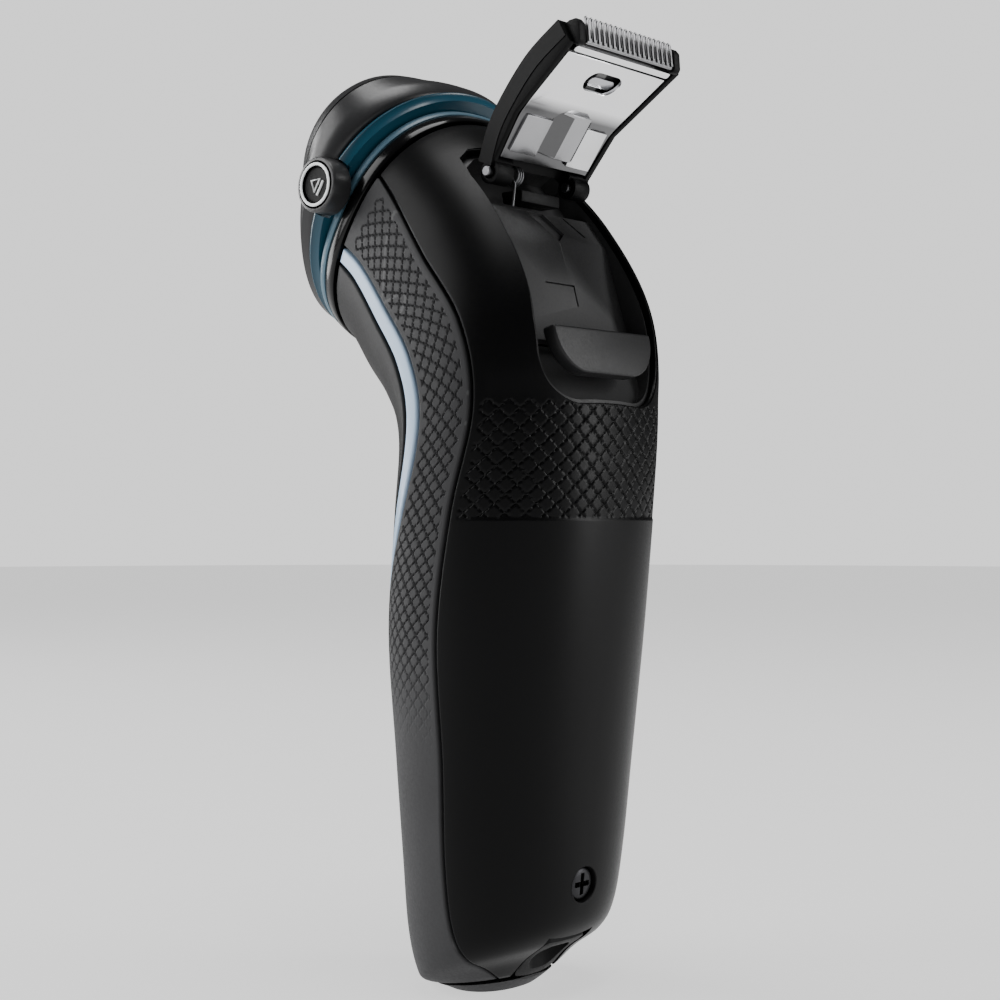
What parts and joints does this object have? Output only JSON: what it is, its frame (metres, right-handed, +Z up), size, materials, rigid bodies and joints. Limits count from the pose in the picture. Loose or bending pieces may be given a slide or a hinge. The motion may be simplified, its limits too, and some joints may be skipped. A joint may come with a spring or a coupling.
{
  "type": "electric shaver",
  "caption": "Cordless rotary shaver with a leaning three-cap head, textured side grips and a pop-up hair trimmer shown open above its pocket.",
  "frame": {"origin": "centre of the small flat foot at the bottom of the handle", "axes": "+Z up the handle, -Y the side the shaving head leans towards, +Y the trimmer side, X across the body"},
  "size_m": [0.0528, 0.071, 0.1621],
  "materials": {
    "shell_satin": "satin black",
    "grip_rubber": "matte moulded grip",
    "panel_grey": "fine matte",
    "strip_blue": "satin light blue",
    "gloss_black": "high gloss",
    "head_black": "satin black",
    "ring_petrol": "gloss petrol blue",
    "seal_blue_grey": "translucent blue grey",
    "steel": "fine brushed",
    "chrome_plate": "polished",
    "tray_grey": "matte",
    "inner_plastic": "matte",
    "gear_plastic": "natural acetal",
    "board": "solder mask",
    "cell": "shrink sleeve",
    "contact_brass": "plated",
    "lens_white": "frosted"
  },
  "bodies": {
    "handle": {"rear_shell": "shell_satin", "grip_left": "grip_rubber", "grip_right": "grip_rubber", "bottom_cap": "grip_rubber", "front_panel": "panel_grey", "accent_strip_left": "strip_blue", "accent_strip_right": "strip_blue", "collar": "gloss_black", "hinge_block": "gloss_black", "attachment_ring": "ring_petrol", "neck_seal": "seal_blue_grey", "rear_screw": "steel", "head_hinge_pin": "steel", "hinge_pin_left": "steel", "hinge_pin_right": "steel", "motor": "steel", "trimmer_spring": "steel", "trimmer_bay": "tray_grey", "inner_frame": "inner_plastic", "power_switch": "inner_plastic", "charging_socket": "inner_plastic", "motor_mount": "inner_plastic", "hair_chamber": "inner_plastic", "gear_cover": "inner_plastic", "circuit_board": "board", "battery": "cell", "socket_pin_left": "contact_brass", "socket_pin_right": "contact_brass", "light_lens": "lens_white"},
    "drive": {"drive_shaft": "steel", "centre_gear": "gear_plastic"},
    "cutter_gear_body_1": {"cutter_gear_1": "gear_plastic"},
    "cutter_gear_body_2": {"cutter_gear_2": "gear_plastic"},
    "cutter_gear_body_3": {"cutter_gear_3": "gear_plastic"},
    "head": {"head_frame": "head_black", "retaining_frame": "inner_plastic"},
    "release": {"release_button": "gloss_black", "button_badge": "lens_white"},
    "cap_1": {"shaving_cap_1": "steel"},
    "cap_2": {"shaving_cap_2": "steel"},
    "cap_3": {"shaving_cap_3": "steel"},
    "cutter_body_1": {"cutter_1": "steel"},
    "cutter_body_2": {"cutter_2": "steel"},
    "cutter_body_3": {"cutter_3": "steel"},
    "trimmer": {"trimmer_cover": "head_black", "trimmer_plate": "chrome_plate", "trimmer_comb": "steel"},
    "trimmer_blade": {"trimmer_cutter": "steel"},
    "lever": {"trimmer_lever": "inner_plastic"},
    "latch": {"slider": "tray_grey", "slider_spring": "steel"},
    "button": {"power_button": "gloss_black"}
  },
  "joints": [
    {"name": "drive_spin", "type": "hinge", "parent": "handle", "child": "drive", "pos_m": [0, -0.02569, 0.13876], "axis": [0, -0.829, 0.5592], "continuous": true},
    {"name": "cutter_gear_spin_1", "type": "hinge", "parent": "handle", "child": "cutter_gear_body_1", "pos_m": [0.01005, -0.01449, 0.1382], "axis": [0, -0.829, 0.5592], "continuous": true},
    {"name": "cutter_gear_spin_2", "type": "hinge", "parent": "handle", "child": "cutter_gear_body_2", "pos_m": [-0.01005, -0.01449, 0.1382], "axis": [0, -0.829, 0.5592], "continuous": true},
    {"name": "cutter_gear_spin_3", "type": "hinge", "parent": "handle", "child": "cutter_gear_body_3", "pos_m": [0, -0.02422, 0.12378], "axis": [0, -0.829, 0.5592], "continuous": true},
    {"name": "head_open", "type": "hinge", "parent": "handle", "child": "head", "pos_m": [-0.024, -0.02491, 0.13679], "axis": [0, -0.5592, -0.829], "range_deg": [0, 100]},
    {"name": "cap_float_1", "type": "slide", "parent": "head", "child": "cap_1", "axis": [0, 0.829, -0.5592], "range_m": [0, 0.0008], "stiffness_N_per_m": 600, "springref_m": -0.001},
    {"name": "cutter_spin_1", "type": "hinge", "parent": "cap_1", "child": "cutter_body_1", "pos_m": [0.01005, -0.01449, 0.1382], "axis": [0, -0.829, 0.5592], "continuous": true},
    {"name": "cap_float_2", "type": "slide", "parent": "head", "child": "cap_2", "axis": [0, 0.829, -0.5592], "range_m": [0, 0.0008], "stiffness_N_per_m": 600, "springref_m": -0.001},
    {"name": "cutter_spin_2", "type": "hinge", "parent": "cap_2", "child": "cutter_body_2", "pos_m": [-0.01005, -0.01449, 0.1382], "axis": [0, -0.829, 0.5592], "continuous": true},
    {"name": "cap_float_3", "type": "slide", "parent": "head", "child": "cap_3", "axis": [0, 0.829, -0.5592], "range_m": [0, 0.0008], "stiffness_N_per_m": 600, "springref_m": -0.001},
    {"name": "cutter_spin_3", "type": "hinge", "parent": "cap_3", "child": "cutter_body_3", "pos_m": [0, -0.02422, 0.12378], "axis": [0, -0.829, 0.5592], "continuous": true},
    {"name": "release_press", "type": "slide", "parent": "head", "child": "release", "axis": [-1, 0, 0], "range_m": [0, 0.0006], "stiffness_N_per_m": 800, "springref_m": -0.0006},
    {"name": "trimmer_open", "type": "hinge", "parent": "handle", "child": "trimmer", "pos_m": [0, 0.0048, 0.1395], "axis": [1, 0, 0], "range_deg": [-108, 0], "stiffness_Nm_per_rad": 0.004, "springref_deg": 51.57},
    {"name": "lever_swing", "type": "hinge", "parent": "trimmer", "child": "lever", "pos_m": [0, 0.01254, 0.15066], "axis": [0, -0.5692, 0.8222], "range_deg": [-4.5, 4.5]},
    {"name": "trimmer_blade_slide", "type": "slide", "parent": "trimmer", "child": "trimmer_blade", "axis": [-1, 0, 0], "range_m": [-0.00094, 0.00094]},
    {"name": "slider_unlatch", "type": "slide", "parent": "handle", "child": "latch", "axis": [0, 0.2346, -0.9721], "range_m": [0, 0.0024], "stiffness_N_per_m": 200, "springref_m": -0.003},
    {"name": "power_press", "type": "slide", "parent": "handle", "child": "button", "axis": [0, 0.9658, -0.2593], "range_m": [0, 0.0008], "stiffness_N_per_m": 900, "springref_m": -0.0008}
  ],
  "couplings": [
    {"joint": "cutter_gear_spin_1", "follows": "drive_spin", "ratio": -0.57143},
    {"joint": "cutter_gear_spin_2", "follows": "drive_spin", "ratio": -0.57143},
    {"joint": "cutter_gear_spin_3", "follows": "drive_spin", "ratio": -0.57143},
    {"joint": "cutter_spin_1", "follows": "drive_spin", "ratio": -0.57143},
    {"joint": "cutter_spin_2", "follows": "drive_spin", "ratio": -0.57143},
    {"joint": "cutter_spin_3", "follows": "drive_spin", "ratio": -0.57143},
    {"joint": "lever_swing", "follows": "trimmer_blade_slide", "rad_per_m": 83.333}
  ]
}
